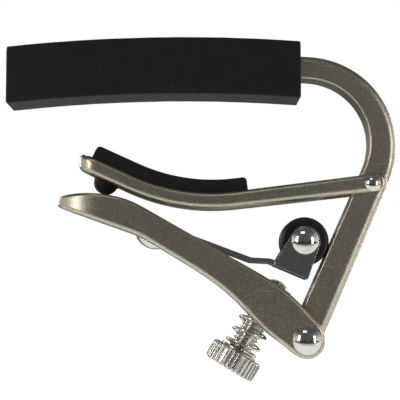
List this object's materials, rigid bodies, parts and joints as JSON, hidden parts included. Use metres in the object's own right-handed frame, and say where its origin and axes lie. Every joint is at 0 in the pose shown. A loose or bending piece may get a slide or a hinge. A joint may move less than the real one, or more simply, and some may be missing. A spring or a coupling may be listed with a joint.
{
  "type": "guitar capo",
  "caption": "Lever-action guitar capo: a hooked bar with a rubber string sleeve, a padded arm behind the neck, and an over-centre lever with a roller and an adjusting screw.",
  "frame": {"origin": "middle of the sleeve's underside, where the capo meets the strings", "axes": "+X across the fingerboard towards the hinge side, +Y along the strings, +Z out of the fingerboard"},
  "size_m": [0.0778, 0.0126, 0.0684],
  "materials": {
    "satin_nickel": "satin bead-blasted nickel plate, warm grey",
    "polished_steel": "polished",
    "bracket_steel": "bright rolled spring steel",
    "screw_nickel": "bright nickel plate",
    "spring_steel": "bright drawn wire",
    "washer_steel": "plain steel",
    "bush_brass": "turned brass",
    "black_rubber": "matt moulded rubber",
    "black_roller": "semi-matt black"
  },
  "bodies": {
    "frame": {"frame_bar": "satin_nickel", "string_sleeve": "black_rubber"},
    "arm": {"arm_channel": "satin_nickel", "neck_pad": "black_rubber", "arm_rivet": "polished_steel", "arm_washer_front": "washer_steel", "arm_washer_back": "washer_steel"},
    "lever": {"lever_shell": "satin_nickel", "lever_rivet": "polished_steel", "lever_washer_front": "washer_steel", "lever_washer_back": "washer_steel", "anchor_rivet": "polished_steel", "threaded_insert": "washer_steel", "tension_spring": "spring_steel"},
    "bracket": {"roller_bracket": "bracket_steel", "roller_pin": "polished_steel"},
    "roller": {"roller": "black_roller", "roller_bush": "bush_brass"},
    "screw_carriage": {"spring_washer": "washer_steel"},
    "screw": {"thumb_knob": "screw_nickel", "screw_stud": "screw_nickel"}
  },
  "joints": [
    {"name": "lever_pivot", "type": "hinge", "parent": "frame", "child": "lever", "pos_m": [0.0302, 0, -0.0488], "axis": [0, -1, 0], "range_deg": [0, 95]},
    {"name": "arm_pivot", "type": "hinge", "parent": "frame", "child": "arm", "pos_m": [0.0434, 0, -0.01785], "axis": [0, -1, 0], "range_deg": [0, 19]},
    {"name": "screw_advance", "type": "slide", "parent": "lever", "child": "screw_carriage", "axis": [0.5225, 0, 0.8526], "range_m": [0, 0.0044], "deforming": ["tension_spring"]},
    {"name": "screw_turn", "type": "hinge", "parent": "screw_carriage", "child": "screw", "pos_m": [0.01483, 0, -0.05441], "axis": [0.5225, 0, 0.8526], "range_deg": [0, 1980]},
    {"name": "bracket_lift", "type": "hinge", "parent": "lever", "child": "bracket", "pos_m": [0.00066, 0, -0.02593], "axis": [0, -1, 0], "range_deg": [0, 4.4]},
    {"name": "roller_spin", "type": "hinge", "parent": "bracket", "child": "roller", "pos_m": [0.03, 0, -0.02925], "axis": [0, -1, 0], "continuous": true}
  ],
  "couplings": [
    {"joint": "arm_pivot", "follows": "lever_pivot", "ratio": 0.2},
    {"joint": "screw_turn", "follows": "screw_advance", "rad_per_m": 7854},
    {"joint": "bracket_lift", "follows": "screw_advance", "rad_per_m": 17.452}
  ]
}
